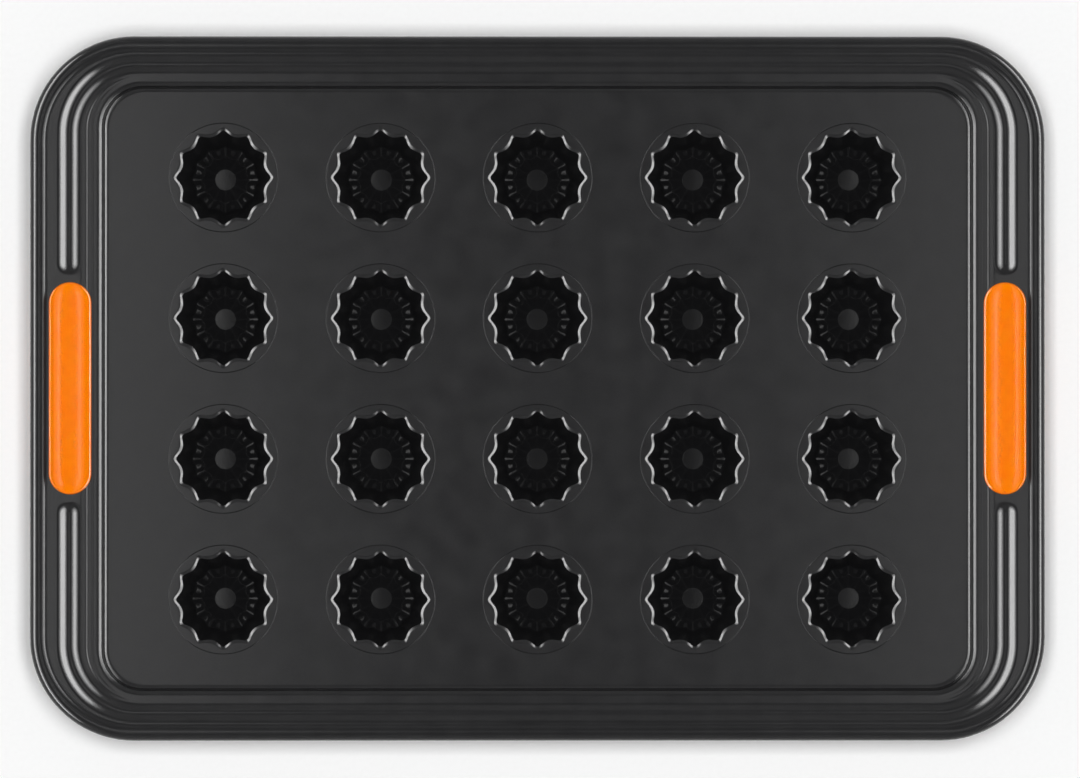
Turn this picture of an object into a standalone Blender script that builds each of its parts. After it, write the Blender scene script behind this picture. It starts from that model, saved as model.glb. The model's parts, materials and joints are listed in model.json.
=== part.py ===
"""Mini canele pan: a pressed steel tray with twenty fluted cups seamed into its deck.

The tray's edge is rolled round a steel wire, and a silicone grip is plugged into each short side.
X runs along the pan, Y across it, Z up. The cups stand on Z = 0 and the pan is centred on X and Y.
All lengths are in metres.
"""

import math

import bmesh
import bpy

# Sheet, fits and facets
SHEET = 0.0006
FIT_GAP = 0.0003
CUTTER_OVERRUN = 0.002

# Tray in plan
CUP_TO_END = 0.076
CUP_TO_SIDE = 0.05555
CORNER_RADIUS = 0.041
DECK_INSET_ENDS = 0.03035
DECK_INSET_SIDES = 0.02165
DECK_CORNER_RADIUS = 0.0145
DECK_MARGIN = 0.002

# Tray in section
FLANGE_RISE = 0.0055
STEP_SHOULDER_RUN = 0.0015
STEP_WALL_RUN = 0.0009
STEP_FOOT_RUN = 0.0011
STEP_BEVEL_SLOPE = 0.6
ROLL_RISE = 0.0011
WIRE_DIAMETER = 0.0048
BEAD_HEIGHT = 0.00185
BEAD_WIDTH_ENDS = 0.0094
BEAD_WIDTH_SIDES = 0.0080
BEAD_INSET_ENDS = 0.0153
BEAD_INSET_SIDES = 0.0110
BEAD_GAP_PAST_GRIP = 0.0026

# Cups
COLUMNS = 5
ROWS = 4
COLUMN_PITCH = 0.062
ROW_PITCH = 0.0555
FLUTES = 12
CUP_DEPTH = 0.028
MOUTH_RADIUS = 0.0198
FLOOR_RADIUS = 0.0126
MOUTH_FLUTE_DEPTH = 0.0018
FLOOR_FLUTE_DEPTH = 0.0008
DIMPLE_RADIUS = 0.0040
DIMPLE_FOOT_RADIUS = 0.0092
DIMPLE_HEIGHT = 0.0016
LIP_WIDTH = 0.0015
SEAM_FLANGE_WIDTH = 0.0022

# Grips
GRIP_LENGTH = 0.0836
GRIP_WIDTH = 0.0168
GRIP_INSET = 0.0159
GRIP_OVERLAP = 0.0028
GRIP_RIM_HEIGHT = 0.0018
GRIP_CROWN = 0.0012
GRIP_UNDERSIDE = 0.0020
GRIP_EDGE_ROUNDING = 0.0012

# Facets
CORNER_STEPS = 5
ROLL_STEP = math.radians(45)
ROLL_END_ANGLE = math.radians(-15)
CUP_STEPS = 2 * FLUTES
GRIP_END_STEPS = 10
CROWN_RINGS = (0.3, 0.6)
MERGE_DISTANCE = 0.00001
ON_WALL = 0.000001

# Lengths, heights and radii that follow from the sizes above
PAN_LENGTH = (COLUMNS - 1) * COLUMN_PITCH + 2 * CUP_TO_END
PAN_WIDTH = (ROWS - 1) * ROW_PITCH + 2 * CUP_TO_SIDE
FLOOR_TOP = SHEET
DECK_TOP = FLOOR_TOP + CUP_DEPTH
FLANGE_TOP = DECK_TOP + FLANGE_RISE
FACET_SHRINK = math.cos(ROLL_STEP / 2)
ROLL_RADIUS = (WIRE_DIAMETER / 2 + FIT_GAP + SHEET) / FACET_SHRINK
ROLL_CENTRE_HEIGHT = FLANGE_TOP + ROLL_RISE - ROLL_RADIUS
LIP_RADIUS = MOUTH_RADIUS + LIP_WIDTH
WALL_SLOPE = (MOUTH_RADIUS - FLOOR_RADIUS) / CUP_DEPTH
WALL_THICKNESS_ACROSS = SHEET * math.hypot(1, WALL_SLOPE)


def clear_scene():
    for thing in list(bpy.data.objects):
        bpy.data.objects.remove(thing, do_unlink=True)


def new_collection(name):
    collection = bpy.data.collections.new(name)
    bpy.context.scene.collection.children.link(collection)
    return collection


def principled(name, colour, roughness, metallic):
    material = bpy.data.materials.new(name)
    material.use_nodes = True
    shader = material.node_tree.nodes["Principled BSDF"]
    shader.inputs["Base Color"].default_value = (*colour, 1.0)
    shader.inputs["Roughness"].default_value = roughness
    shader.inputs["Metallic"].default_value = metallic
    return material


def add_object(name, mesh, collection, material=None):
    piece = bpy.data.objects.new(name, mesh)
    collection.objects.link(piece)
    if material:
        mesh.materials.append(material)
    return piece


def smooth(mesh, sharp_over_degrees=35):
    mesh.shade_smooth()
    mesh.set_sharp_from_angle(angle=math.radians(sharp_over_degrees))


def turned(name, profile, steps, angle=math.tau):
    """Turn a half section of (radius, height) points about Z with a Screw modifier."""
    outline = bpy.data.meshes.new(name + "_profile")
    points = [(radius, 0.0, height) for radius, height in profile]
    edges = [(i, i + 1) for i in range(len(points) - 1)]
    outline.from_pydata(points, edges, [])
    lathe = bpy.data.objects.new(name + "_lathe", outline)
    bpy.context.scene.collection.objects.link(lathe)
    screw = lathe.modifiers.new("turn", "SCREW")
    screw.angle = angle
    screw.steps = steps
    screw.render_steps = steps
    screw.use_merge_vertices = True
    screw.merge_threshold = MERGE_DISTANCE
    depsgraph = bpy.context.evaluated_depsgraph_get()
    mesh = bpy.data.meshes.new_from_object(lathe.evaluated_get(depsgraph))
    mesh.name = name
    bpy.data.objects.remove(lathe, do_unlink=True)
    bpy.data.meshes.remove(outline)
    return mesh


def round_ended(name, profile, straight, collection, material=None):
    """A bar with round ends along Y: half a turned end, drawn out to the middle and mirrored."""
    mesh = turned(name, profile, GRIP_END_STEPS, math.pi)
    work = bmesh.new()
    work.from_mesh(mesh)
    bmesh.ops.translate(work, vec=(0, straight / 2, 0), verts=work.verts)
    open_edges = [edge for edge in work.edges if edge.is_boundary]
    drawn = bmesh.ops.extrude_edge_only(work, edges=open_edges)["geom"]
    for item in drawn:
        if isinstance(item, bmesh.types.BMVert):
            item.co.y = 0.0
    bmesh.ops.recalc_face_normals(work, faces=work.faces)
    work.to_mesh(mesh)
    work.free()
    bar = add_object(name, mesh, collection, material)
    mirror = bar.modifiers.new("other_end", "MIRROR")
    mirror.use_axis = (False, True, False)
    mirror.merge_threshold = MERGE_DISTANCE
    return bar


def corner_radius(inset):
    """Plan radius of the corner at a distance in from the pan's short side."""
    roll_width = 2 * ROLL_RADIUS
    if inset <= roll_width:
        return CORNER_RADIUS - inset
    inward = (inset - roll_width) / (DECK_INSET_ENDS - roll_width)
    at_roll = CORNER_RADIUS - roll_width
    return at_roll + (DECK_CORNER_RADIUS - at_roll) * min(inward, 1.0)


def bead_end_stations():
    """Distances across the pan, each with the share of the bead's height that it has there."""
    bead_stop = GRIP_LENGTH / 2 + BEAD_GAP_PAST_GRIP
    return [
        (bead_stop, 0.0),
        (bead_stop + 0.2 * BEAD_WIDTH_ENDS, 0.75),
        (bead_stop + 0.5 * BEAD_WIDTH_ENDS, 1.0),
    ]


def rim_loop(inset_ends, inset_sides):
    """Points of one rounded rectangle, counter-clockwise, each with its share of the bead's height."""
    half_x = PAN_LENGTH / 2 - inset_ends
    half_y = PAN_WIDTH / 2 - inset_sides
    radius = corner_radius(inset_ends)
    quarter = []
    for y, share in bead_end_stations():
        quarter.append((half_x, y, share))
    for step in range(CORNER_STEPS + 1):
        turn = math.pi / 2 * step / CORNER_STEPS
        x = half_x - radius + radius * math.cos(turn)
        y = half_y - radius + radius * math.sin(turn)
        quarter.append((x, y, 1.0))
    left = [(-x, y, share) for x, y, share in reversed(quarter)]
    upper = quarter + left
    lower = [(-x, -y, share) for x, y, share in upper]
    return upper + lower


def step_section():
    """The step from the flange down to the deck, bevelled at its shoulder and its foot."""
    foot_start = -STEP_FOOT_RUN
    shoulder_end = foot_start - STEP_WALL_RUN
    shoulder_start = shoulder_end - STEP_SHOULDER_RUN
    return [
        (shoulder_start, FLANGE_TOP),
        (shoulder_end, FLANGE_TOP - STEP_SHOULDER_RUN * STEP_BEVEL_SLOPE),
        (foot_start, DECK_TOP + STEP_FOOT_RUN * STEP_BEVEL_SLOPE),
        (0.0, DECK_TOP),
        (DECK_MARGIN, DECK_TOP),
    ]


def tray_section():
    """The tray's upper face from the hidden end of the roll in to the deck.

    Each entry is inset at the short sides, inset at the long sides, height, and share of the bead.
    """
    section = []
    junction = math.asin((ROLL_RADIUS - ROLL_RISE) / ROLL_RADIUS)
    angles = [ROLL_END_ANGLE]
    angles += [-ROLL_STEP * k for k in range(1, 7)]
    angles += [-math.tau + (math.pi / 2 + junction) / 2, -math.tau + junction]
    for angle in angles:
        inset = ROLL_RADIUS * (1 + math.cos(angle))
        height = ROLL_CENTRE_HEIGHT + ROLL_RADIUS * math.sin(angle)
        section.append((inset, inset, height, 0.0))
    for across, share in ((-0.5, 0.0), (-0.22, 0.75), (0.0, 1.0), (0.22, 0.75), (0.5, 0.0)):
        ends = BEAD_INSET_ENDS + across * BEAD_WIDTH_ENDS
        sides = BEAD_INSET_SIDES + across * BEAD_WIDTH_SIDES
        section.append((ends, sides, FLANGE_TOP, share))
    for across, height in step_section():
        section.append((DECK_INSET_ENDS + across, DECK_INSET_SIDES + across, height, 0.0))
    return section


def make_tray(collection, cutters, material):
    """Deck, step, flange, bead and rolled edge, lofted as one skin and given the sheet's thickness."""
    work = bmesh.new()
    loops = []
    for inset_ends, inset_sides, height, bead in tray_section():
        loop = []
        for x, y, share in rim_loop(inset_ends, inset_sides):
            loop.append(work.verts.new((x, y, height + BEAD_HEIGHT * bead * share)))
        loops.append(loop)
    for outer, inner in zip(loops, loops[1:]):
        count = len(outer)
        for i in range(count):
            j = (i + 1) % count
            work.faces.new((outer[i], outer[j], inner[j], inner[i]))
    work.faces.new(loops[-1])
    mesh = bpy.data.meshes.new("tray")
    work.to_mesh(mesh)
    work.free()
    smooth(mesh)
    tray = add_object("tray", mesh, collection, material)
    sheet = tray.modifiers.new("sheet", "SOLIDIFY")
    sheet.thickness = SHEET
    sheet.offset = -1
    sheet.use_even_offset = True
    sheet.use_quality_normals = True
    holes = tray.modifiers.new("holes", "BOOLEAN")
    holes.operation = "DIFFERENCE"
    holes.solver = "EXACT"
    holes.operand_type = "COLLECTION"
    holes.collection = cutters
    return tray


def cup_places():
    """Name and centre of each cup, from the far left one by rows."""
    places = []
    for row in range(ROWS):
        for column in range(COLUMNS):
            x = (column - (COLUMNS - 1) / 2) * COLUMN_PITCH
            y = ((ROWS - 1) / 2 - row) * ROW_PITCH
            places.append((f"cup_r{row + 1}_c{column + 1}", x, y))
    return places


def wall_radius(height):
    """Inner radius of a cup's wall along its flutes' tips."""
    return FLOOR_RADIUS + (height - FLOOR_TOP) * WALL_SLOPE


def press_flutes(mesh):
    """Draw the wall in between the flutes' tips, less and less towards the floor."""
    for vertex in mesh.vertices:
        radius = math.hypot(vertex.co.x, vertex.co.y)
        past_wall = radius - wall_radius(vertex.co.z)
        on_inner = abs(past_wall) < ON_WALL
        on_outer = abs(past_wall - WALL_THICKNESS_ACROSS) < ON_WALL
        if not (on_inner or on_outer):
            continue
        up = (vertex.co.z - FLOOR_TOP) / CUP_DEPTH
        depth = FLOOR_FLUTE_DEPTH + (MOUTH_FLUTE_DEPTH - FLOOR_FLUTE_DEPTH) * up
        turn = math.atan2(vertex.co.y, vertex.co.x)
        inward = depth * (1 - math.cos(FLUTES * turn)) / 2
        vertex.co.x *= (radius - inward) / radius
        vertex.co.y *= (radius - inward) / radius


def make_cups(collection, material):
    """Cups with a folded lip flush with the deck and a seam flange lapped under it."""
    lap_top = DECK_TOP - SHEET - FIT_GAP
    lap_bottom = lap_top - SHEET
    lap_radius = LIP_RADIUS + SEAM_FLANGE_WIDTH
    profile = [
        (0.0, FLOOR_TOP + DIMPLE_HEIGHT),
        (DIMPLE_RADIUS, FLOOR_TOP + DIMPLE_HEIGHT),
        (DIMPLE_FOOT_RADIUS, FLOOR_TOP),
        (FLOOR_RADIUS, FLOOR_TOP),
        (MOUTH_RADIUS, DECK_TOP),
        (LIP_RADIUS, DECK_TOP),
        (LIP_RADIUS, lap_top),
        (lap_radius, lap_top),
        (lap_radius, lap_bottom),
        (wall_radius(lap_bottom) + WALL_THICKNESS_ACROSS, lap_bottom),
        (wall_radius(0.0) + WALL_THICKNESS_ACROSS, 0.0),
        (DIMPLE_FOOT_RADIUS, 0.0),
        (DIMPLE_RADIUS, DIMPLE_HEIGHT),
        (0.0, DIMPLE_HEIGHT),
    ]
    mesh = turned("cup", profile, CUP_STEPS)
    press_flutes(mesh)
    smooth(mesh)
    mesh.materials.append(material)
    for name, x, y in cup_places():
        cup = add_object(name, mesh, collection)
        cup.location = (x, y, 0.0)


def make_cup_cutters(collection):
    """Round holes in the deck, each a fit gap larger than a cup's lip."""
    for name, x, y in cup_places():
        bpy.ops.mesh.primitive_cylinder_add(
            vertices=CUP_STEPS,
            radius=LIP_RADIUS + FIT_GAP,
            depth=SHEET + 2 * CUTTER_OVERRUN,
            location=(x, y, DECK_TOP - SHEET / 2),
        )
        cutter = bpy.context.object
        cutter.name = name + "_hole"
        for holder in list(cutter.users_collection):
            holder.objects.unlink(cutter)
        collection.objects.link(cutter)


def grip_places():
    """Name and centre along X of each grip."""
    reach = PAN_LENGTH / 2 - GRIP_INSET
    return [("grip_left", -reach), ("grip_right", reach)]


def make_grip_slots(collection):
    """Slots with round ends in the flange, smaller than the grips by their overlap."""
    radius = GRIP_WIDTH / 2 - GRIP_OVERLAP
    top = FLANGE_TOP + CUTTER_OVERRUN
    bottom = FLANGE_TOP - SHEET - CUTTER_OVERRUN
    profile = [(0.0, top), (radius, top), (radius, bottom), (0.0, bottom)]
    for name, x in grip_places():
        slot = round_ended(name + "_slot", profile, GRIP_LENGTH - GRIP_WIDTH, collection)
        slot.location = (x, 0.0, 0.0)


def make_grips(collection, material):
    """Silicone plugs: a pad with a low crown and a rounded edge above the flange, and a flat pad below it.

    A neck through the slot joins the two.
    """
    radius = GRIP_WIDTH / 2
    neck = radius - GRIP_OVERLAP - FIT_GAP
    pad_base = FLANGE_TOP + FIT_GAP
    rim_top = FLANGE_TOP + GRIP_RIM_HEIGHT
    under_top = FLANGE_TOP - SHEET - FIT_GAP
    under_base = FLANGE_TOP - SHEET - GRIP_UNDERSIDE
    edge = GRIP_EDGE_ROUNDING
    profile = [(0.0, rim_top + GRIP_CROWN)]
    for share in CROWN_RINGS + (1 - edge / radius,):
        profile.append((radius * share, rim_top + GRIP_CROWN * (1 - share * share)))
    profile += [
        (radius - 0.3 * edge, rim_top - 0.22 * edge),
        (radius, rim_top - 0.8 * edge),
        (radius, pad_base),
        (neck, pad_base),
        (neck, under_top),
        (radius, under_top),
        (radius, under_base + 0.6 * edge),
        (radius - edge, under_base),
        (0.0, under_base),
    ]
    for name, x in grip_places():
        grip = round_ended(name, profile, GRIP_LENGTH - GRIP_WIDTH, collection, material)
        grip.location = (x, 0.0, 0.0)
        smooth(grip.data)


def make_rim_wire(collection, material):
    """A closed hoop of round wire along the middle of the roll."""
    curve = bpy.data.curves.new("rim_wire", "CURVE")
    curve.dimensions = "3D"
    curve.bevel_depth = WIRE_DIAMETER / 2
    curve.bevel_resolution = 2
    curve.render_resolution_u = 0
    curve.use_fill_caps = True
    points = rim_loop(ROLL_RADIUS, ROLL_RADIUS)
    spline = curve.splines.new("POLY")
    spline.points.add(len(points) - 1)
    for point, (x, y, _) in zip(spline.points, points):
        point.co = (x, y, ROLL_CENTRE_HEIGHT, 1.0)
    spline.use_cyclic_u = True
    curve.materials.append(material)
    wire = bpy.data.objects.new("rim_wire", curve)
    collection.objects.link(wire)


def hide_cutters(collection):
    for cutter in collection.objects:
        cutter.hide_render = True
        cutter.display_type = "WIRE"


clear_scene()
pan = new_collection("mini_canele_pan")
cutters = new_collection("cutters")

coated_steel = principled("coated_steel", (0.030, 0.030, 0.031), 0.38, 0.0)
bare_wire = principled("steel_wire", (0.55, 0.55, 0.56), 0.35, 1.0)
silicone = principled("orange_silicone", (1.0, 0.22, 0.0), 0.45, 0.0)

make_cup_cutters(cutters)
make_grip_slots(cutters)
make_tray(pan, cutters, coated_steel)
make_cups(pan, coated_steel)
make_rim_wire(pan, bare_wire)
make_grips(pan, silicone)
hide_cutters(cutters)
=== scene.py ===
import json
import math

import bmesh
import bpy
from mathutils import Matrix, Vector

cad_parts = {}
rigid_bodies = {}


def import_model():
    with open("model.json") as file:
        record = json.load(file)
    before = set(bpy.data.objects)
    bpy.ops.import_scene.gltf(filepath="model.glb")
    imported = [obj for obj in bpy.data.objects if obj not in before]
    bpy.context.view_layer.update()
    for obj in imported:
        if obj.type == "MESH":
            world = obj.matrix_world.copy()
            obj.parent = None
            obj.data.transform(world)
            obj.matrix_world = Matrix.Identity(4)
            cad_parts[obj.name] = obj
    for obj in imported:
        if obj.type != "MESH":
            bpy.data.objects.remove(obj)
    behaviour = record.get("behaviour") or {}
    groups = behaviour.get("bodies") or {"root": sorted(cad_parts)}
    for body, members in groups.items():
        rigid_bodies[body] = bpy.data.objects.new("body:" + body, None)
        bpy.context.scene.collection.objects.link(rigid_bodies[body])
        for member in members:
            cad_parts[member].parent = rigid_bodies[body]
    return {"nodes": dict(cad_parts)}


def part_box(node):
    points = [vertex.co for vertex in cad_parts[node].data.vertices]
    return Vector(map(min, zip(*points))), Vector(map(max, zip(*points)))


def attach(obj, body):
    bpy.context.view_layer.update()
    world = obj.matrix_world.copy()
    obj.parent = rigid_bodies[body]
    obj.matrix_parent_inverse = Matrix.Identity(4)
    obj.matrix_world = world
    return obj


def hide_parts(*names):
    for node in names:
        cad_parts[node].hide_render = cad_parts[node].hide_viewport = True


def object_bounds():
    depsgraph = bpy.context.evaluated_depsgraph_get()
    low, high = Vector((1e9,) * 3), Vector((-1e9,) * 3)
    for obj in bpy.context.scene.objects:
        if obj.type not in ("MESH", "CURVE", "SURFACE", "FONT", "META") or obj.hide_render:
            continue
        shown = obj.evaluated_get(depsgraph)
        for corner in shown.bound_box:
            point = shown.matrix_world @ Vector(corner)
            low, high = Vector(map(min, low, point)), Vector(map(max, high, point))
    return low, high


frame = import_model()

cad_low, cad_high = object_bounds()

# The tray. One pressing of thin carbon steel sheet: a flat deck, a step up to a flange with a stiffening
# bead, and an outer edge curled over a wire. It is coated on both sides and baked before the cups are
# seamed in.
MM = 0.001
SHEET = 0.6 * MM
tray_low, tray_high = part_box("tray")
cup_low, cup_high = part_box("cup_r1_c1")
grip_low, grip_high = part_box("grip_right")
wire_low, wire_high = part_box("rim_wire")

DECK_TOP = cup_high.z
BEAD_HEIGHT = 1.85 * MM
FLANGE_TOP = tray_high.z - BEAD_HEIGHT
ROLL_RISE = 1.1 * MM
WIRE_HEIGHT = (wire_low.z + wire_high.z) / 2
ROLL_RADIUS = FLANGE_TOP + ROLL_RISE - WIRE_HEIGHT
ROLL_END_ANGLE = math.radians(-15)
ROLL_STEPS = 22
ROLL_FILLET = 2.3 * MM
ROLL_FILLET_STEPS = 8

CORNER_RADIUS = 41.0 * MM
DECK_CORNER_RADIUS = 14.5 * MM
DECK_INSET_ENDS = 30.35 * MM
DECK_INSET_SIDES = 21.65 * MM

# The step from the ledge to the deck, from its shoulder's bevel down its wall to its foot's bevel.
STEP_LEAD_IN = 1.2 * MM
STEP_SHOULDER_RUN = 1.5 * MM
STEP_WALL_RUN = 0.9 * MM
STEP_FOOT_RUN = 1.1 * MM
STEP_LEAD_OUT = 2.0 * MM
STEP_BEVEL_SLOPE = 0.6
STEP_SHOULDER_ROUNDING = 2.0 * MM
STEP_WALL_TOP_ROUNDING = 0.8 * MM
STEP_WALL_FOOT_ROUNDING = 0.6 * MM
STEP_FOOT_ROUNDING = 1.6 * MM

BEAD_WIDTH_ENDS = 9.4 * MM
BEAD_WIDTH_SIDES = 7.8 * MM
BEAD_OUTER_SHARE = 0.53
BEAD_INSET_ENDS = 15.3 * MM
BEAD_INSET_SIDES = 11.0 * MM
BEAD_STOP = grip_high.y + 2.6 * MM
BEAD_STEPS = 16
BEAD_END_STEPS = 8

# At the short sides the press leaves the ledge between the bead and the step falling a little towards the
# deck: a gentle run that ends in a short fold, and a faint one beside the step. Each pair is a distance in
# from the edge and the slope there. The step's wall takes up the fall.
LEDGE_SLOPES = ((19.7 * MM, 0.0), (20.5 * MM, 0.12), (21.9 * MM, 0.13), (22.2 * MM, 0.48),
                (22.7 * MM, 0.54), (22.95 * MM, 0.0), (24.2 * MM, 0.0), (24.5 * MM, 0.125),
                (24.9 * MM, 0.125), (25.2 * MM, 0.0))
LEDGE_STEPS = 60

CORNER_STEPS = 22
HOLE_STEPS = 128
HOLE_RADIUS = 21.54 * MM
EDGE_ROUNDING = 0.15 * MM
EDGE_STEPS = 4
GRIP_LENGTH = grip_high.y - grip_low.y
GRIP_WIDTH = grip_high.x - grip_low.x
SLOT_INSET_IN_GRIP = 2.8 * MM
SLOT_END_STEPS = 24
CUTTER_OVERRUN = 2.0 * MM
WELD_WITHIN = 0.01 * MM


def arc(centre, radius, start, end, steps):
    """Points of an arc, in order, as (across, up) pairs."""
    points = []
    for step in range(steps + 1):
        angle = start + (end - start) * step / steps
        points.append((centre[0] + radius * math.cos(angle), centre[1] + radius * math.sin(angle)))
    return points


def fillet(before, corner, after, radius, steps):
    """The arc of that radius that rounds the corner between two straight runs."""
    corner = Vector(corner)
    back = (Vector(before) - corner).normalized()
    ahead = (Vector(after) - corner).normalized()
    half_angle = back.angle(ahead) / 2
    start = corner + back * (radius / math.tan(half_angle))
    centre = corner + (back + ahead).normalized() * (radius / math.sin(half_angle))
    first = start - centre
    turn = math.pi - 2 * half_angle
    if back.x * ahead.y - back.y * ahead.x > 0:
        turn = -turn
    points = []
    for step in range(steps + 1):
        angle = turn * step / steps
        x = first.x * math.cos(angle) - first.y * math.sin(angle)
        y = first.x * math.sin(angle) + first.y * math.cos(angle)
        points.append((centre.x + x, centre.y + y))
    return points


def rounded(corners):
    """A run of points through corners given as ((across, up), radius, steps).

    A corner with no steps stays sharp, and so do the first and the last.
    """
    points = [corners[0][0]]
    for before, (corner, radius, steps), after in zip(corners, corners[1:], corners[2:]):
        if steps:
            points += fillet(before[0], corner, after[0], radius, steps)
        else:
            points.append(corner)
    points.append(corners[-1][0])
    return points


def corner_radius(inset):
    """Plan radius of the corner at a distance in from the short side."""
    roll_width = 2 * ROLL_RADIUS
    if inset <= roll_width:
        return CORNER_RADIUS - inset
    inward = min((inset - roll_width) / (DECK_INSET_ENDS - roll_width), 1.0)
    at_roll = CORNER_RADIUS - roll_width
    return at_roll + (DECK_CORNER_RADIUS - at_roll) * inward


def rim_stations(inset_ends, inset_sides):
    """One loop round the pan. Each point has how far it belongs to a short side: 1 there, 0 on a long one."""
    half_x = tray_high.x - inset_ends
    half_y = tray_high.y - inset_sides
    radius = corner_radius(inset_ends)
    quarter = [(half_x, 0.0, 1.0)]
    for step in range(BEAD_END_STEPS + 1):
        quarter.append((half_x, BEAD_STOP + BEAD_WIDTH_ENDS / 2 * step / BEAD_END_STEPS, 1.0))
    for step in range(CORNER_STEPS + 1):
        turn = math.pi / 2 * step / CORNER_STEPS
        x = half_x - radius + radius * math.cos(turn)
        y = half_y - radius + radius * math.sin(turn)
        quarter.append((x, y, math.cos(turn) ** 2))
    quarter.append((0.0, half_y, 0.0))
    upper = quarter + [(-x, y, share) for x, y, share in reversed(quarter[:-1])]
    return upper + [(-x, -y, share) for x, y, share in upper[1:-1]]


def step_section():
    """The step from the ledge down to the deck, bevelled at its shoulder and foot, measured from the deck."""
    foot_start = -STEP_FOOT_RUN
    shoulder_end = foot_start - STEP_WALL_RUN
    shoulder_start = shoulder_end - STEP_SHOULDER_RUN
    return rounded([
        ((shoulder_start - STEP_LEAD_IN, FLANGE_TOP), 0.0, 0),
        ((shoulder_start, FLANGE_TOP), STEP_SHOULDER_ROUNDING, 5),
        ((shoulder_end, FLANGE_TOP - STEP_SHOULDER_RUN * STEP_BEVEL_SLOPE), STEP_WALL_TOP_ROUNDING, 6),
        ((foot_start, DECK_TOP + STEP_FOOT_RUN * STEP_BEVEL_SLOPE), STEP_WALL_FOOT_ROUNDING, 6),
        ((0.0, DECK_TOP), STEP_FOOT_ROUNDING, 5),
        ((STEP_LEAD_OUT, DECK_TOP), 0.0, 0),
    ])


def tray_section():
    """The upper face from the hidden end of the curl in to the deck.

    Each entry is inset at the ends, inset at the sides, height, and place across the bead, -0.5 to 0.5.
    """
    drop = FLANGE_TOP + ROLL_FILLET - WIRE_HEIGHT
    reach = ROLL_RADIUS + ROLL_FILLET
    touch = math.asin(drop / reach)
    curl = arc((ROLL_RADIUS, WIRE_HEIGHT), ROLL_RADIUS, ROLL_END_ANGLE, touch - math.tau, ROLL_STEPS)
    valley_centre = (ROLL_RADIUS + reach * math.cos(touch), FLANGE_TOP + ROLL_FILLET)
    valley = arc(valley_centre, ROLL_FILLET, touch + math.pi, 1.5 * math.pi, ROLL_FILLET_STEPS)[1:]
    section = [(inset, inset, height, -0.5) for inset, height in curl + valley]
    for step in range(BEAD_STEPS + 1):
        across = step / BEAD_STEPS - 0.5
        ends = BEAD_INSET_ENDS + across * BEAD_WIDTH_ENDS
        sides = BEAD_INSET_SIDES + across * BEAD_WIDTH_SIDES
        section.append((ends, sides, FLANGE_TOP, across))
    step_points = step_section()
    ledge_ends = DECK_INSET_ENDS + step_points[0][0]
    ledge_sides = DECK_INSET_SIDES + step_points[0][0]
    for step in range(1, LEDGE_STEPS):
        share = step / LEDGE_STEPS
        at_ends = ends + (ledge_ends - ends) * share
        at_sides = sides + (ledge_sides - sides) * share
        section.append((at_ends, at_sides, FLANGE_TOP, 0.5))
    for across, height in step_points:
        section.append((DECK_INSET_ENDS + across, DECK_INSET_SIDES + across, height, 0.5))
    return section


def hump(share):
    """Height of a raised-cosine hump of unit height and width at a distance from its middle."""
    return (1 + math.cos(math.tau * min(abs(share), 0.5))) / 2


def ledge_fall(inset):
    """How far the ledge has fallen at a distance in from the short side."""
    fall = 0.0
    for (start, first), (end, last) in zip(LEDGE_SLOPES, LEDGE_SLOPES[1:]):
        run = min(max(inset - start, 0.0), end - start)
        fall += run * (first + (last - first) * run / (end - start) / 2)
    wall_start = DECK_INSET_ENDS - STEP_FOOT_RUN - STEP_WALL_RUN
    return fall * min(max(1 - (inset - wall_start) / STEP_WALL_RUN, 0.0), 1.0)


def pressed_height(inset_ends, across, y, end_share):
    """What the bead and the ledge's fall add to the flange's height."""
    before_end = max(0.0, BEAD_STOP + BEAD_WIDTH_ENDS / 2 - abs(y)) / BEAD_WIDTH_ENDS
    from_crest = across + 0.5 - BEAD_OUTER_SHARE
    side_share = BEAD_OUTER_SHARE if from_crest < 0 else 1 - BEAD_OUTER_SHARE
    leaned = from_crest / (2 * side_share)
    return BEAD_HEIGHT * hump(math.hypot(leaned, before_end)) - end_share * ledge_fall(inset_ends)


def turned(name, profile, steps, angle=math.tau):
    """Turn a half section of (radius, height) points about Z."""
    outline = bpy.data.meshes.new(name + "_profile")
    points = [(radius, 0.0, height) for radius, height in profile]
    outline.from_pydata(points, [(i, i + 1) for i in range(len(points) - 1)], [])
    lathe = bpy.data.objects.new(name + "_lathe", outline)
    bpy.context.scene.collection.objects.link(lathe)
    screw = lathe.modifiers.new("turn", "SCREW")
    screw.angle = angle
    screw.steps = steps
    screw.render_steps = steps
    screw.use_merge_vertices = True
    screw.merge_threshold = WELD_WITHIN
    mesh = finished_mesh(lathe, name)
    bpy.data.meshes.remove(outline)
    return mesh


def finished_mesh(worked, name):
    """The object's mesh with its modifiers applied. The object itself is removed."""
    depsgraph = bpy.context.evaluated_depsgraph_get()
    mesh = bpy.data.meshes.new_from_object(worked.evaluated_get(depsgraph))
    mesh.name = name
    bpy.data.objects.remove(worked, do_unlink=True)
    return mesh


def show(name, mesh, place=(0.0, 0.0, 0.0)):
    """Put a mesh in the scene as an object, at a place."""
    piece = bpy.data.objects.new(name, mesh)
    bpy.context.scene.collection.objects.link(piece)
    piece.location = place
    return piece


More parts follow.
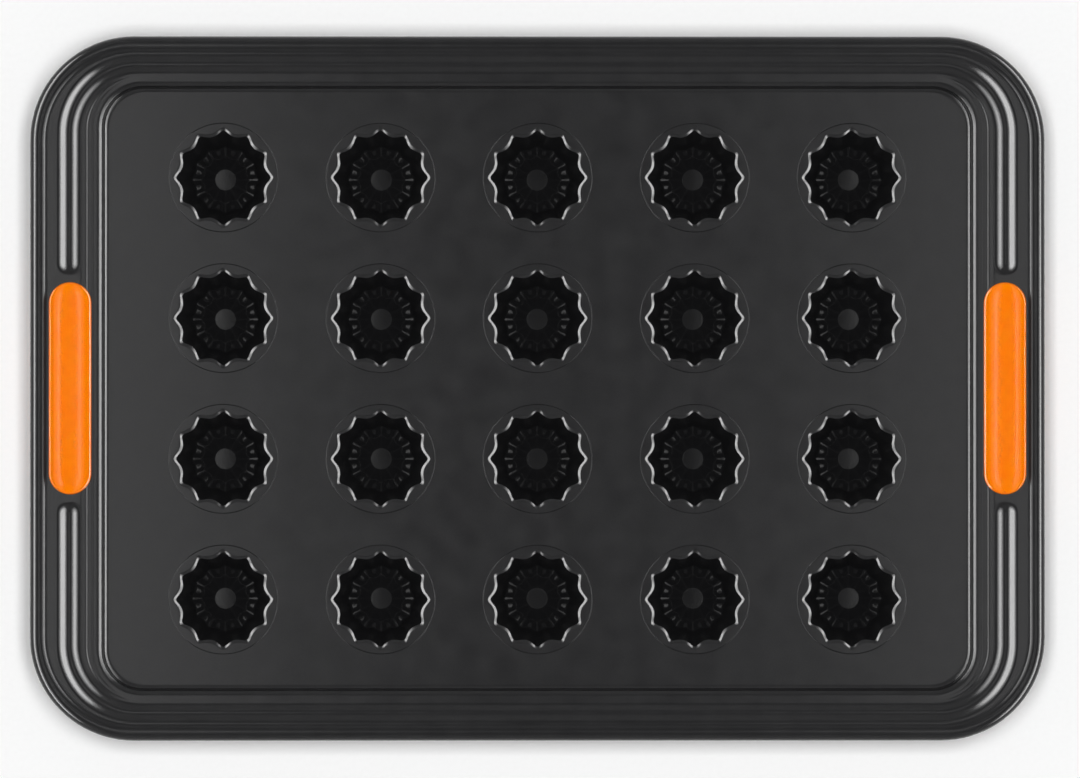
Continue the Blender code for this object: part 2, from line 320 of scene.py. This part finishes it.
def round_ended(name, profile, straight, end_steps):
    """A bar with round ends along Y: half a turned end, drawn out to the middle and mirrored."""
    work = bmesh.new()
    work.from_mesh(turned(name, profile, end_steps, math.pi))
    bmesh.ops.translate(work, vec=(0, straight / 2, 0), verts=work.verts)
    open_edges = [edge for edge in work.edges if edge.is_boundary]
    for item in bmesh.ops.extrude_edge_only(work, edges=open_edges)["geom"]:
        if isinstance(item, bmesh.types.BMVert):
            item.co.y = 0.0
    bmesh.ops.recalc_face_normals(work, faces=work.faces)
    mesh = bpy.data.meshes.new(name)
    work.to_mesh(mesh)
    work.free()
    bar = show(name, mesh)
    mirror = bar.modifiers.new("other_end", "MIRROR")
    mirror.use_axis = (False, True, False)
    mirror.merge_threshold = WELD_WITHIN
    return finished_mesh(bar, name)


def hole_cutter(name, radius):
    """A turned cutter that also rounds the hole's two edges."""
    top, bottom = DECK_TOP, DECK_TOP - SHEET
    wide = radius + EDGE_ROUNDING
    profile = [(0.0, top + CUTTER_OVERRUN), (wide, top + CUTTER_OVERRUN)]
    profile += arc((wide, top - EDGE_ROUNDING), EDGE_ROUNDING, math.pi / 2, math.pi, EDGE_STEPS)
    profile += arc((wide, bottom + EDGE_ROUNDING), EDGE_ROUNDING, math.pi, 1.5 * math.pi, EDGE_STEPS)
    profile += [(wide, bottom - CUTTER_OVERRUN), (0.0, bottom - CUTTER_OVERRUN)]
    return turned(name, profile, HOLE_STEPS)


def cup_places():
    """Name and centre of each cup, read from the frame."""
    places = []
    for name in sorted(frame["nodes"]):
        if name.startswith("cup_"):
            low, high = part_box(name)
            places.append((name, (low.x + high.x) / 2, (low.y + high.y) / 2))
    return places


def make_tray_mesh():
    """The pressed sheet: loops round the pan, skinned, thickened downwards, and cut for cups and grips."""
    work = bmesh.new()
    loops = []
    for inset_ends, inset_sides, height, across in tray_section():
        loop = []
        for x, y, end_share in rim_stations(inset_ends, inset_sides):
            pressed = pressed_height(inset_ends, across, y, end_share)
            loop.append(work.verts.new((x, y, height + pressed)))
        loops.append(loop)
    for outer, inner in zip(loops, loops[1:]):
        for i in range(len(outer)):
            j = (i + 1) % len(outer)
            work.faces.new((outer[i], outer[j], inner[j], inner[i]))
    work.faces.new(loops[-1])
    skin = bpy.data.meshes.new("tray_skin")
    work.to_mesh(skin)
    work.free()
    cutters = bpy.data.collections.new("tray_cutters")
    bpy.context.scene.collection.children.link(cutters)
    round_hole = hole_cutter("cup_hole", HOLE_RADIUS)
    for name, x, y in cup_places():
        cutter = bpy.data.objects.new(name + "_hole", round_hole)
        cutter.location = (x, y, 0.0)
        cutters.objects.link(cutter)
    slot_radius = GRIP_WIDTH / 2 - SLOT_INSET_IN_GRIP
    top, bottom = FLANGE_TOP + CUTTER_OVERRUN, FLANGE_TOP - SHEET - CUTTER_OVERRUN
    slot_profile = [(0.0, top), (slot_radius, top), (slot_radius, bottom), (0.0, bottom)]
    slot = round_ended("grip_slot", slot_profile, GRIP_LENGTH - GRIP_WIDTH, SLOT_END_STEPS)
    for side in (-1, 1):
        cutter = bpy.data.objects.new(f"slot_{side}", slot)
        cutter.location = (side * (grip_low.x + grip_high.x) / 2, 0.0, 0.0)
        cutters.objects.link(cutter)
    worked = show("tray_worked", skin)
    sheet = worked.modifiers.new("sheet", "SOLIDIFY")
    sheet.thickness = SHEET
    sheet.offset = -1
    sheet.use_even_offset = True
    sheet.use_quality_normals = True
    holes = worked.modifiers.new("holes", "BOOLEAN")
    holes.operation = "DIFFERENCE"
    holes.solver = "EXACT"
    holes.operand_type = "COLLECTION"
    holes.collection = cutters
    mesh = finished_mesh(worked, "pressed_tray")
    for cutter in list(cutters.objects):
        bpy.data.objects.remove(cutter, do_unlink=True)
    bpy.data.collections.remove(cutters)
    return mesh


SHARP_EDGE_ANGLE = math.radians(40)
FLAT_FACES_WEIGHT = 60


def smooth(mesh):
    """Smooth shading, broken at sharp edges, in which large flat faces keep their own direction."""
    mesh.shade_smooth()
    mesh.set_sharp_from_angle(angle=SHARP_EDGE_ANGLE)
    shaded = bpy.data.objects.new(mesh.name + "_shading", mesh)
    bpy.context.scene.collection.objects.link(shaded)
    flats = shaded.modifiers.new("flat_faces_lead", "WEIGHTED_NORMAL")
    flats.keep_sharp = True
    flats.weight = FLAT_FACES_WEIGHT
    return finished_mesh(shaded, mesh.name)


def srgb(code):
    """Linear colour of an sRGB hex value."""
    channels = [int(code[i:i + 2], 16) / 255 for i in (1, 3, 5)]
    linear = [c / 12.92 if c <= 0.04045 else ((c + 0.055) / 1.055) ** 2.4 for c in channels]
    return (*linear, 1.0)


def add_node(tree, kind, inputs=None, **settings):
    """Add a node with its settings. An input is a value, or the output socket of another node."""
    node = tree.nodes.new(kind)
    for name, value in settings.items():
        setattr(node, name, value)
    for name, value in (inputs or {}).items():
        if isinstance(value, bpy.types.NodeSocket):
            tree.links.new(value, node.inputs[name])
        else:
            node.inputs[name].default_value = value
    return node


def noise(tree, place, size, detail):
    """Noise whose largest features are about that size in metres."""
    settings = {"Vector": place, "Scale": 1 / size, "Detail": detail}
    return add_node(tree, "ShaderNodeTexNoise", settings).outputs[0]


def combined(tree, operation, first, second):
    """One value made from two by a mathematical operation."""
    return add_node(tree, "ShaderNodeMath", {0: first, 1: second}, operation=operation).outputs[0]


def spread_over(tree, value, low, high, new_low=0.0, new_high=1.0):
    """The value carried from the range low to high to a new one, and held within it."""
    ranges = {"From Min": low, "From Max": high, "To Min": new_low, "To Max": new_high}
    return add_node(tree, "ShaderNodeMapRange", {"Value": value, **ranges}).outputs[0]


def blend(tree, share, first, second):
    """The colour that lies that share of the way from the first to the second."""
    # The node's number and colour sockets have the same names, so its colours go by place.
    mix = add_node(tree, "ShaderNodeMix", {"Factor": share, 6: first, 7: second}, data_type="RGBA")
    return mix.outputs[2]


def dress(tree, shader, colour, roughness, relief, relief_height):
    """Give the shader a colour, a roughness and a fine relief of that height in metres."""
    bump = add_node(tree, "ShaderNodeBump", {"Height": relief, "Distance": relief_height})
    tree.links.new(colour, shader.inputs["Base Color"])
    tree.links.new(roughness, shader.inputs["Roughness"])
    tree.links.new(bump.outputs[0], shader.inputs["Normal"])


def new_finish(name):
    """An empty material with its output, its shader and object coordinates in metres."""
    material = bpy.data.materials.new(name)
    material.use_nodes = True
    tree = material.node_tree
    tree.nodes.clear()
    shader = add_node(tree, "ShaderNodeBsdfPrincipled")
    add_node(tree, "ShaderNodeOutputMaterial", {"Surface": shader.outputs[0]})
    place = add_node(tree, "ShaderNodeTexCoord").outputs["Object"]
    return material, tree, shader, place


# Depths below the deck over which level faces are painted darker, as painted shade down in the cups.
SHADE_PAINTED_FROM = 0.4 * MM
SHADE_PAINTED_FULL = 20.0 * MM


def ptfe_non_stick_coating():
    """Dark grey PTFE coating, sprayed and baked on steel.

    To the eye it is near black with a low satin sheen: faint cloudy patches a few millimetres wide from the
    spray, tiny dark and light flecks, and a slight orange peel that makes the highlights' edges waver.
    """
    material, tree, shader, place = new_finish("ptfe_non_stick_coating")
    cloud = noise(tree, place, 9 * MM, 4.0)
    # Real flecks are about 0.05 mm; they are drawn 0.5 mm wide so that they show.
    flecks = noise(tree, place, 0.5 * MM, 2.0)
    mottle = combined(tree, "ADD", cloud, flecks)
    unshaded = blend(tree, spread_over(tree, mottle, 0.7, 1.3), srgb("#1F1F20"), srgb("#242425"))
    # Level faces down in the cups are painted darker towards the bottom. This is painted shade, not a change
    # in the coating.
    height = add_node(tree, "ShaderNodeSeparateXYZ", {0: place}).outputs["Z"]
    shade_by_depth = spread_over(tree, height, DECK_TOP - SHADE_PAINTED_FROM, DECK_TOP - SHADE_PAINTED_FULL)
    facing = add_node(tree, "ShaderNodeNewGeometry").outputs["Normal"]
    upward = add_node(tree, "ShaderNodeSeparateXYZ", {0: facing}).outputs["Z"]
    level = spread_over(tree, upward, 0.2, 0.9)
    colour = blend(tree, combined(tree, "MULTIPLY", shade_by_depth, level), unshaded, srgb("#111112"))
    gloss = spread_over(tree, cloud, 0.3, 0.7, 0.16, 0.20)
    # The orange peel's dimples are about 1.6 mm apart and a few thousandths of a millimetre deep.
    peel = noise(tree, place, 1.6 * MM, 2.0)
    dress(tree, shader, colour, gloss, peel, 0.006 * MM)
    shader.inputs["IOR"].default_value = 1.35
    return material


coating = ptfe_non_stick_coating()
tray_mesh = smooth(make_tray_mesh())
tray_mesh.materials.clear()
tray_mesh.materials.append(coating)
tray = show("pressed_tray", tray_mesh)
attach(tray, "root")
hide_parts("tray")

# The cups. Twenty fluted thimbles of the same coated sheet, drawn in a die with twelve flutes. Each has its
# lip folded flush with the deck and a flange lapped under it, and its floor is dished up to free the cake.
CUP_DEPTH = DECK_TOP - SHEET
FLUTES = 12
STEPS_PER_FLUTE = 14
# Each flute comes to a pointed tip, rounded over a small angle, and hollows out between tips.
FLUTE_CUSP = math.radians(2.2)
FLUTE_POWER = 2.1
MOUTH_RADIUS = 18.5 * MM
MOUTH_FLUTE_DEPTH = 2.0 * MM
MOUTH_BEVEL_RUN = 1.3 * MM
MOUTH_BEVEL_SLOPE = 0.58
MOUTH_WALL_ROUNDING = 0.6 * MM
MOUTH_DECK_ROUNDING = 1.0 * MM
FLOOR_RADIUS = 13.4 * MM
FLOOR_ROUNDING = 1.2 * MM
FLOOR_FLUTE_DEPTH = 1.0 * MM
# From the dimple's foot the floor rises to the wall as a band, and the flutes run out on it as one rib
# between each two tips. The outer pieces of the band give way to the rounding into the wall.
FLOOR_BAND_RUN = 3.8 * MM
FLOOR_BAND_SLOPE = 0.36
FLOOR_BAND_PIECES = 8
PIECES_BEFORE_ROUNDING = 5
RIB_HEIGHT = 0.4 * MM
RIB_FADE = 1.2 * MM
RIB_FULL_BELOW = CUP_DEPTH / 3
DIMPLE_RADIUS = 4.1 * MM
DIMPLE_HEIGHT = 1.6 * MM
DIMPLE_EDGE_ROUNDING = 0.8 * MM
DIMPLE_FOOT_ROUNDING = 0.2 * MM
DIMPLE_PIECES = 4
LIP_RADIUS = 21.42 * MM
LAP_RADIUS = (cup_high.x - cup_low.x) / 2
LAP_GAP = 0.3 * MM
LAP_ROUNDING = 0.2 * MM
# Roundings of the outside, from the lap down to the hollow below the dimple.
NECK_ROUNDING = 0.8 * MM
HEEL_ROUNDING = 2.4 * MM
HOLLOW_FOOT_ROUNDING = 0.3 * MM
HOLLOW_TOP_ROUNDING = 1.2 * MM


def flute_share(turn):
    """1 at a flute's tip, falling to 0 midway between two tips."""
    spacing = math.tau / FLUTES
    from_tip = abs((turn + spacing / 2) % spacing - spacing / 2)
    eased = math.hypot(from_tip, FLUTE_CUSP) - FLUTE_CUSP
    most = math.hypot(spacing / 2, FLUTE_CUSP) - FLUTE_CUSP
    return (1 - eased / most) ** FLUTE_POWER


def cup_section(turn):
    """The closed half section at one angle round the cup, from the dimple's top to its underside."""
    share = flute_share(turn)
    floor_radius = FLOOR_RADIUS - FLOOR_FLUTE_DEPTH * (1 - share)
    mouth_radius = MOUTH_RADIUS - MOUTH_FLUTE_DEPTH * (1 - share)
    dimple_foot = floor_radius - FLOOR_BAND_RUN
    wall_foot = SHEET + FLOOR_BAND_RUN * FLOOR_BAND_SLOPE
    slope = (mouth_radius - floor_radius) / CUP_DEPTH
    through = SHEET * math.hypot(1, slope)
    lap_top = DECK_TOP - SHEET - LAP_GAP
    lap_bottom = lap_top - SHEET
    outer_mouth = floor_radius + slope * (lap_bottom - SHEET) + through
    outer_floor = floor_radius - slope * SHEET + through
    band = divided((dimple_foot, SHEET), (floor_radius, wall_foot), FLOOR_BAND_PIECES)
    corners = [
        ((0.0, SHEET + DIMPLE_HEIGHT), 0.0, 0),
        ((DIMPLE_RADIUS, SHEET + DIMPLE_HEIGHT), DIMPLE_EDGE_ROUNDING, 4),
        *divided((DIMPLE_RADIUS, SHEET + DIMPLE_HEIGHT), (dimple_foot, SHEET), DIMPLE_PIECES),
        ((dimple_foot, SHEET), DIMPLE_FOOT_ROUNDING, 4),
        *band[:PIECES_BEFORE_ROUNDING],
        ((floor_radius, wall_foot), FLOOR_ROUNDING, 12),
        ((mouth_radius, DECK_TOP - MOUTH_BEVEL_RUN * MOUTH_BEVEL_SLOPE), MOUTH_WALL_ROUNDING, 6),
        ((mouth_radius + MOUTH_BEVEL_RUN, DECK_TOP), MOUTH_DECK_ROUNDING, 5),
        ((LIP_RADIUS, DECK_TOP), EDGE_ROUNDING, 3),
        ((LIP_RADIUS, lap_top), EDGE_ROUNDING, 2),
        ((LAP_RADIUS, lap_top), LAP_ROUNDING, 2),
        ((LAP_RADIUS, lap_bottom), LAP_ROUNDING, 2),
        ((outer_mouth, lap_bottom), NECK_ROUNDING, 4),
        ((outer_floor, 0.0), HEEL_ROUNDING, 7),
        ((dimple_foot, 0.0), HOLLOW_FOOT_ROUNDING, 3),
        ((DIMPLE_RADIUS, DIMPLE_HEIGHT), HOLLOW_TOP_ROUNDING, 3),
        ((0.0, DIMPLE_HEIGHT), 0.0, 0),
    ]
    return ribbed(rounded(corners), turn, dimple_foot)


def divided(start, end, pieces):
    """Sharp corners that divide a straight run, so that a rib can bend it."""
    corners = []
    for piece in range(1, pieces):
        share = piece / pieces
        point = (start[0] + (end[0] - start[0]) * share, start[1] + (end[1] - start[1]) * share)
        corners.append((point, 0.0, 0))
    return corners


def ribbed(section, turn, rib_start):
    """The section with a rib on its floor that fades in from its start and fades out up the wall."""
    rib = RIB_HEIGHT * (1 - math.cos(FLUTES * turn)) / 2
    lip = max(range(len(section)), key=lambda k: section[k][1])
    floor = []
    for radius, height in section[:lip]:
        inner = min(max((radius - rib_start) / RIB_FADE, 0.0), 1.0)
        upper = min(max(2 - height / RIB_FULL_BELOW, 0.0), 1.0)
        floor.append((radius, height + rib * inner * upper))
    return floor + section[lip:]


def make_cup_mesh():
    """One closed cup, from its half sections at even angles all round."""
    work = bmesh.new()
    count = FLUTES * STEPS_PER_FLUTE
    rings = []
    for step in range(count):
        turn = math.tau * step / count
        ring = []
        for radius, height in cup_section(turn)[1:-1]:
            ring.append(work.verts.new((radius * math.cos(turn), radius * math.sin(turn), height)))
        rings.append(ring)
    top = work.verts.new((0.0, 0.0, SHEET + DIMPLE_HEIGHT))
    bottom = work.verts.new((0.0, 0.0, DIMPLE_HEIGHT))
    for here, there in zip(rings, rings[1:] + rings[:1]):
        work.faces.new((top, here[0], there[0]))
        for k in range(len(here) - 1):
            work.faces.new((here[k], here[k + 1], there[k + 1], there[k]))
        work.faces.new((bottom, there[-1], here[-1]))
    mesh = bpy.data.meshes.new("fluted_cup")
    work.to_mesh(mesh)
    work.free()
    return mesh


cup_mesh = smooth(make_cup_mesh())
cup_mesh.materials.append(coating)
for name, x, y in cup_places():
    cup = show("fluted_" + name, cup_mesh, (x, y, 0.0))
    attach(cup, "root")
    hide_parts(name)

# The rim wire. A hoop of hard-drawn steel wire that stiffens the curled edge. It is bent to the pan's
# outline, butted, and caught as the sheet is curled over it.
WIRE_RADIUS = (wire_high.z - wire_low.z) / 2
WIRE_ROUNDNESS = 6


def drawn_steel_wire():
    """Bare drawn carbon steel wire.

    To the eye it is a grey metal with a fine grain left by the die, and a dull film of oxide.
    """
    material, tree, shader, place = new_finish("drawn_steel_wire")
    # The die's marks are a few hundredths of a millimetre apart; they are drawn 0.3 mm apart to show.
    grain = noise(tree, place, 0.3 * MM, 3.0)
    film = noise(tree, place, 12 * MM, 3.0)
    colour = blend(tree, film, srgb("#8E8D8B"), srgb("#B4B3B0"))
    gloss = spread_over(tree, film, 0.3, 0.7, 0.30, 0.45)
    dress(tree, shader, colour, gloss, grain, 0.01 * MM)
    shader.inputs["Metallic"].default_value = 1.0
    return material


hoop_curve = bpy.data.curves.new("wire_hoop", "CURVE")
hoop_curve.dimensions = "3D"
hoop_curve.bevel_depth = WIRE_RADIUS
hoop_curve.bevel_resolution = WIRE_ROUNDNESS
hoop_stations = rim_stations(ROLL_RADIUS, ROLL_RADIUS)
hoop_line = hoop_curve.splines.new("POLY")
hoop_line.points.add(len(hoop_stations) - 1)
for point, (x, y, _) in zip(hoop_line.points, hoop_stations):
    point.co = (x, y, WIRE_HEIGHT, 1.0)
hoop_line.use_cyclic_u = True
hoop = bpy.data.objects.new("wire_hoop", hoop_curve)
bpy.context.scene.collection.objects.link(hoop)
hoop_mesh = smooth(finished_mesh(hoop, "wire_hoop"))
hoop_mesh.materials.append(drawn_steel_wire())
wire = show("wire_hoop", hoop_mesh)
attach(wire, "root")
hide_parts("rim_wire")

# The grips. Two plugs of orange silicone rubber, compression moulded. Each has a crowned pad on the flange
# and a flat pad below it, and is stretched into its slot so that the sheet sits in the groove between them.
GRIP_RIM_TOP = FLANGE_TOP + 2.0 * MM
GRIP_CROWN = 0.7 * MM
CROWN_SHARE = 0.85
CROWN_STEPS = 20
GRIP_LEAN = math.tan(math.radians(4.0))
GRIP_TOP_ROUNDING = 1.2 * MM
GRIP_FOOT_ROUNDING = 0.25 * MM
GRIP_UNDER_ROUNDING = 1.0 * MM
GRIP_END_STEPS = 40
# The rubber's clearance from the sheet all round the slot.
GRIP_SEAT = 0.12 * MM


def moulded_silicone():
    """Orange silicone rubber from a lightly blasted mould.

    To the eye it is a strong even orange with a soft satin skin: a very fine matt grain, hardly any change of
    colour, and light that scatters a little under the surface and softens the edges.
    """
    material, tree, shader, place = new_finish("moulded_silicone")
    cloud = noise(tree, place, 6 * MM, 3.0)
    # The mould's blasted grain is about 0.05 mm; it is drawn 0.35 mm wide so that it shows.
    grain = noise(tree, place, 0.35 * MM, 2.0)
    colour = blend(tree, spread_over(tree, cloud, 0.35, 0.65), srgb("#FF7B00"), srgb("#FF8200"))
    gloss = spread_over(tree, grain, 0.3, 0.7, 0.09, 0.13)
    dress(tree, shader, colour, gloss, grain, 0.004 * MM)
    shader.inputs["IOR"].default_value = 1.41
    shader.inputs["Specular IOR Level"].default_value = 0.4
    shader.inputs["Subsurface Weight"].default_value = 0.15
    shader.inputs["Subsurface Radius"].default_value = (1.0, 0.35, 0.1)
    shader.inputs["Subsurface Scale"].default_value = 0.6 * MM
    return material


def grip_profile():
    """Half section of a grip's round end, from the crown's top to the middle of the lower pad."""
    radius = GRIP_WIDTH / 2
    neck = radius - SLOT_INSET_IN_GRIP - GRIP_SEAT
    profile = []
    for step in range(CROWN_STEPS + 1):
        share = CROWN_SHARE * step / CROWN_STEPS
        profile.append((radius * share, GRIP_RIM_TOP + GRIP_CROWN * (1 - share ** 3)))
    edge_slope = 3 * GRIP_CROWN * CROWN_SHARE ** 2 / radius
    edge_height = profile[-1][1] - edge_slope * (1 - CROWN_SHARE) * radius
    seat_top = FLANGE_TOP + GRIP_SEAT
    seat_under = FLANGE_TOP - SHEET - GRIP_SEAT
    profile += rounded([
        (profile[-1], 0.0, 0),
        ((radius, edge_height), GRIP_TOP_ROUNDING, 10),
        ((radius, seat_top), GRIP_FOOT_ROUNDING, 3),
        ((neck, seat_top), 0.0, 0),
        ((neck, seat_under), 0.0, 0),
        ((radius, seat_under), GRIP_FOOT_ROUNDING, 3),
        ((radius, grip_low.z), GRIP_UNDER_ROUNDING, 5),
        ((0.0, grip_low.z), 0.0, 0),
    ])[1:]
    return profile


def make_grip_mesh():
    """A grip whose crown leans a little towards -X, the middle of the pan for the grip at +X."""
    mesh = round_ended("silicone_grip", grip_profile(), GRIP_LENGTH - GRIP_WIDTH, GRIP_END_STEPS)
    for vertex in mesh.vertices:
        up = (vertex.co.z - FLANGE_TOP) / (GRIP_RIM_TOP - FLANGE_TOP)
        vertex.co.z += GRIP_LEAN * vertex.co.x * min(max(up, 0.0), 1.0)
    return mesh


grip_mesh = smooth(make_grip_mesh())
grip_mesh.materials.append(moulded_silicone())
for side, turn in (("left", math.pi), ("right", 0.0)):
    low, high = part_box("grip_" + side)
    grip = show("silicone_grip_" + side, grip_mesh, ((low.x + high.x) / 2, 0.0, 0.0))
    grip.rotation_euler.z = turn
    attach(grip, "root")
    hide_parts("grip_" + side)

# The set. A wide white board under the pan, a plain white surround, and on each side of the pan long
# softboxes set low, middling and high. Black cards hang overhead and white ones past the long sides.
FLOOR_HALF = 12.0


def white_board():
    """Matt white painted board. To the eye it is plain white with the pan's soft shadow on it."""
    material, tree, shader, place = new_finish("white_board")
    tooth = noise(tree, place, 2 * MM, 2.0)
    tree.links.new(blend(tree, tooth, srgb("#FAFAFA"), srgb("#FFFFFF")), shader.inputs["Base Color"])
    shader.inputs["Roughness"].default_value = 0.9
    shader.inputs["Specular IOR Level"].default_value = 0.0
    return material


bpy.ops.mesh.primitive_plane_add(size=2 * FLOOR_HALF, location=(0.0, 0.0, cad_low.z))
floor = bpy.context.object
floor.name = "white_floor"
floor.data.materials.append(white_board())

# The surround is white where it is seen or mirrored, and dimmer as a light.
SURROUND_AS_LIGHT = 0.2
SURROUND_AS_SEEN = 1.0
surround = bpy.data.worlds.new("white_surround")
surround.use_nodes = True
tree = surround.node_tree
tree.nodes.clear()
ray = add_node(tree, "ShaderNodeLightPath").outputs
seen = combined(tree, "MAXIMUM", ray["Is Camera Ray"], ray["Is Glossy Ray"])
seen = combined(tree, "MAXIMUM", seen, ray["Is Transmission Ray"])
strength = spread_over(tree, seen, 0.0, 1.0, SURROUND_AS_LIGHT, SURROUND_AS_SEEN)
background = add_node(tree, "ShaderNodeBackground", {"Strength": strength})
add_node(tree, "ShaderNodeOutputWorld", {"Surface": background.outputs[0]})
bpy.context.scene.world = surround


def add_softbox(name, from_vertical, distance, spread, length, radiance, in_gloss):
    """A long softbox parallel to Y, aimed at the pan from that many degrees off straight up.

    Its width is the angle that it spreads over as the pan sees it. It is seen either in the gloss or as light
    on matt surfaces, so that each has its own level.
    """
    lamp = bpy.data.lights.new(name, "AREA")
    lamp.shape = "RECTANGLE"
    lamp.size = 2 * distance * math.tan(math.radians(spread) / 2)
    lamp.size_y = length
    lamp.energy = radiance * math.pi * lamp.size * lamp.size_y
    box = bpy.data.objects.new(name, lamp)
    bpy.context.scene.collection.objects.link(box)
    angle = math.radians(from_vertical)
    box.location = (distance * math.sin(angle), 0.0, distance * math.cos(angle))
    box.rotation_euler = (0.0, angle, 0.0)
    box.visible_camera = False
    box.visible_diffuse = not in_gloss
    box.visible_glossy = in_gloss


# The low and middle ones draw the long highlights on the slopes, with brighter tubes before the low ones. The
# high ones tone the deck from its ends to its middle, each at its own angle and level. The fill lights matt
# surfaces.
for side, sign, high_angle, high_radiance in (("left", -1, -6.4, 2.5), ("right", 1, 7.9, 2.0)):
    add_softbox("low_softbox_" + side, from_vertical=sign * 61, distance=2.8, spread=26,
                length=6.0, radiance=7.5, in_gloss=True)
    add_softbox("low_tubes_" + side, from_vertical=sign * 61, distance=2.4, spread=10,
                length=6.0, radiance=16.0, in_gloss=True)
    add_softbox("middle_softbox_" + side, from_vertical=sign * 42, distance=2.6, spread=7,
                length=4.0, radiance=2.5, in_gloss=True)
    add_softbox("high_softbox_" + side, from_vertical=high_angle, distance=3.2, spread=3.3,
                length=1.4, radiance=high_radiance, in_gloss=True)
    add_softbox("fill_softbox_" + side, from_vertical=sign * 6, distance=3.2, spread=8,
                length=1.15, radiance=27.0, in_gloss=False)

# The overhead cards cover these angles from straight up, and leave the high softboxes clear. The end cards
# stand upright past the pan's long sides.
OVERHEAD_HEIGHT = 3.4
OVERHEAD_LENGTH = 4.0
OVERHEAD_ANGLES = (("left", -36.0, -14.0), ("middle", -4.6, 6.1), ("right", 14.5, 36.0))
END_CARD_DISTANCE = 3.0
END_CARD_HEIGHT = 2.75
END_CARD_SIZE = (5.0, 4.5)


def matt_card(name, code):
    """Matt paper on board, as a studio hangs up to darken or lighten a gloss. Even, with no sheen."""
    material, _, shader, _ = new_finish(name)
    shader.inputs["Base Color"].default_value = srgb(code)
    shader.inputs["Roughness"].default_value = 0.9
    shader.inputs["Specular IOR Level"].default_value = 0.0
    return material


def add_card(name, place, facing, size, finish):
    """A hung card that shows only as a mirror image in a gloss, and takes no light from the pan."""
    work = bmesh.new()
    bmesh.ops.create_grid(work, x_segments=1, y_segments=1, size=0.5)
    bmesh.ops.scale(work, vec=(size[0], size[1], 1.0), verts=work.verts)
    mesh = bpy.data.meshes.new(name)
    work.to_mesh(mesh)
    work.free()
    mesh.materials.append(finish)
    card = show(name, mesh, place)
    card.rotation_euler = facing
    card.visible_camera = False
    card.visible_diffuse = False
    card.visible_shadow = False


black_paper = matt_card("black_card", "#303030")
white_paper = matt_card("white_card", "#FAFAFA")
for name, first, last in OVERHEAD_ANGLES:
    start = OVERHEAD_HEIGHT * math.tan(math.radians(first))
    end = OVERHEAD_HEIGHT * math.tan(math.radians(last))
    add_card("overhead_card_" + name, ((start + end) / 2, 0.0, OVERHEAD_HEIGHT), (math.pi, 0.0, 0.0),
             (end - start, OVERHEAD_LENGTH), black_paper)
for side, sign in (("far", 1), ("near", -1)):
    add_card("end_card_" + side, (0.0, sign * END_CARD_DISTANCE, END_CARD_HEIGHT),
             (sign * math.pi / 2, 0.0, 0.0), END_CARD_SIZE, white_paper)

# The camera looks down from about three metres, a little off the middle of the pan, framed as the
# photograph is.
PHOTO_WIDTH = 1080
PHOTO_HEIGHT = 778
PAN_LENGTH_IN_PHOTO = 1015
PAN_CENTRE_IN_PHOTO = (537.7, 388.4)
CAMERA_DISTANCE = 3.07
CAMERA_OFFSET = (-27.6 * MM, -28.0 * MM)
FRAMED_HEIGHT = 32.5 * MM
metres_per_pixel = (tray_high.x - tray_low.x) / PAN_LENGTH_IN_PHOTO
lens = bpy.data.cameras.new("camera")
lens.sensor_width = 36.0
lens.lens = lens.sensor_width * CAMERA_DISTANCE / (PHOTO_WIDTH * metres_per_pixel)
aim = Vector((
    (PHOTO_WIDTH / 2 - PAN_CENTRE_IN_PHOTO[0]) * metres_per_pixel,
    (PAN_CENTRE_IN_PHOTO[1] - PHOTO_HEIGHT / 2) * metres_per_pixel,
    FRAMED_HEIGHT,
))
camera = bpy.data.objects.new("camera", lens)
bpy.context.scene.collection.objects.link(camera)
camera.location = aim + Vector((*CAMERA_OFFSET, CAMERA_DISTANCE))
back = (camera.location - aim).normalized()
right = Vector((0.0, 1.0, 0.0)).cross(back).normalized()
camera.rotation_euler = Matrix((right, back.cross(right), back)).transposed().to_euler()
bpy.context.scene.camera = camera
bpy.context.scene.view_settings.view_transform = "Standard"
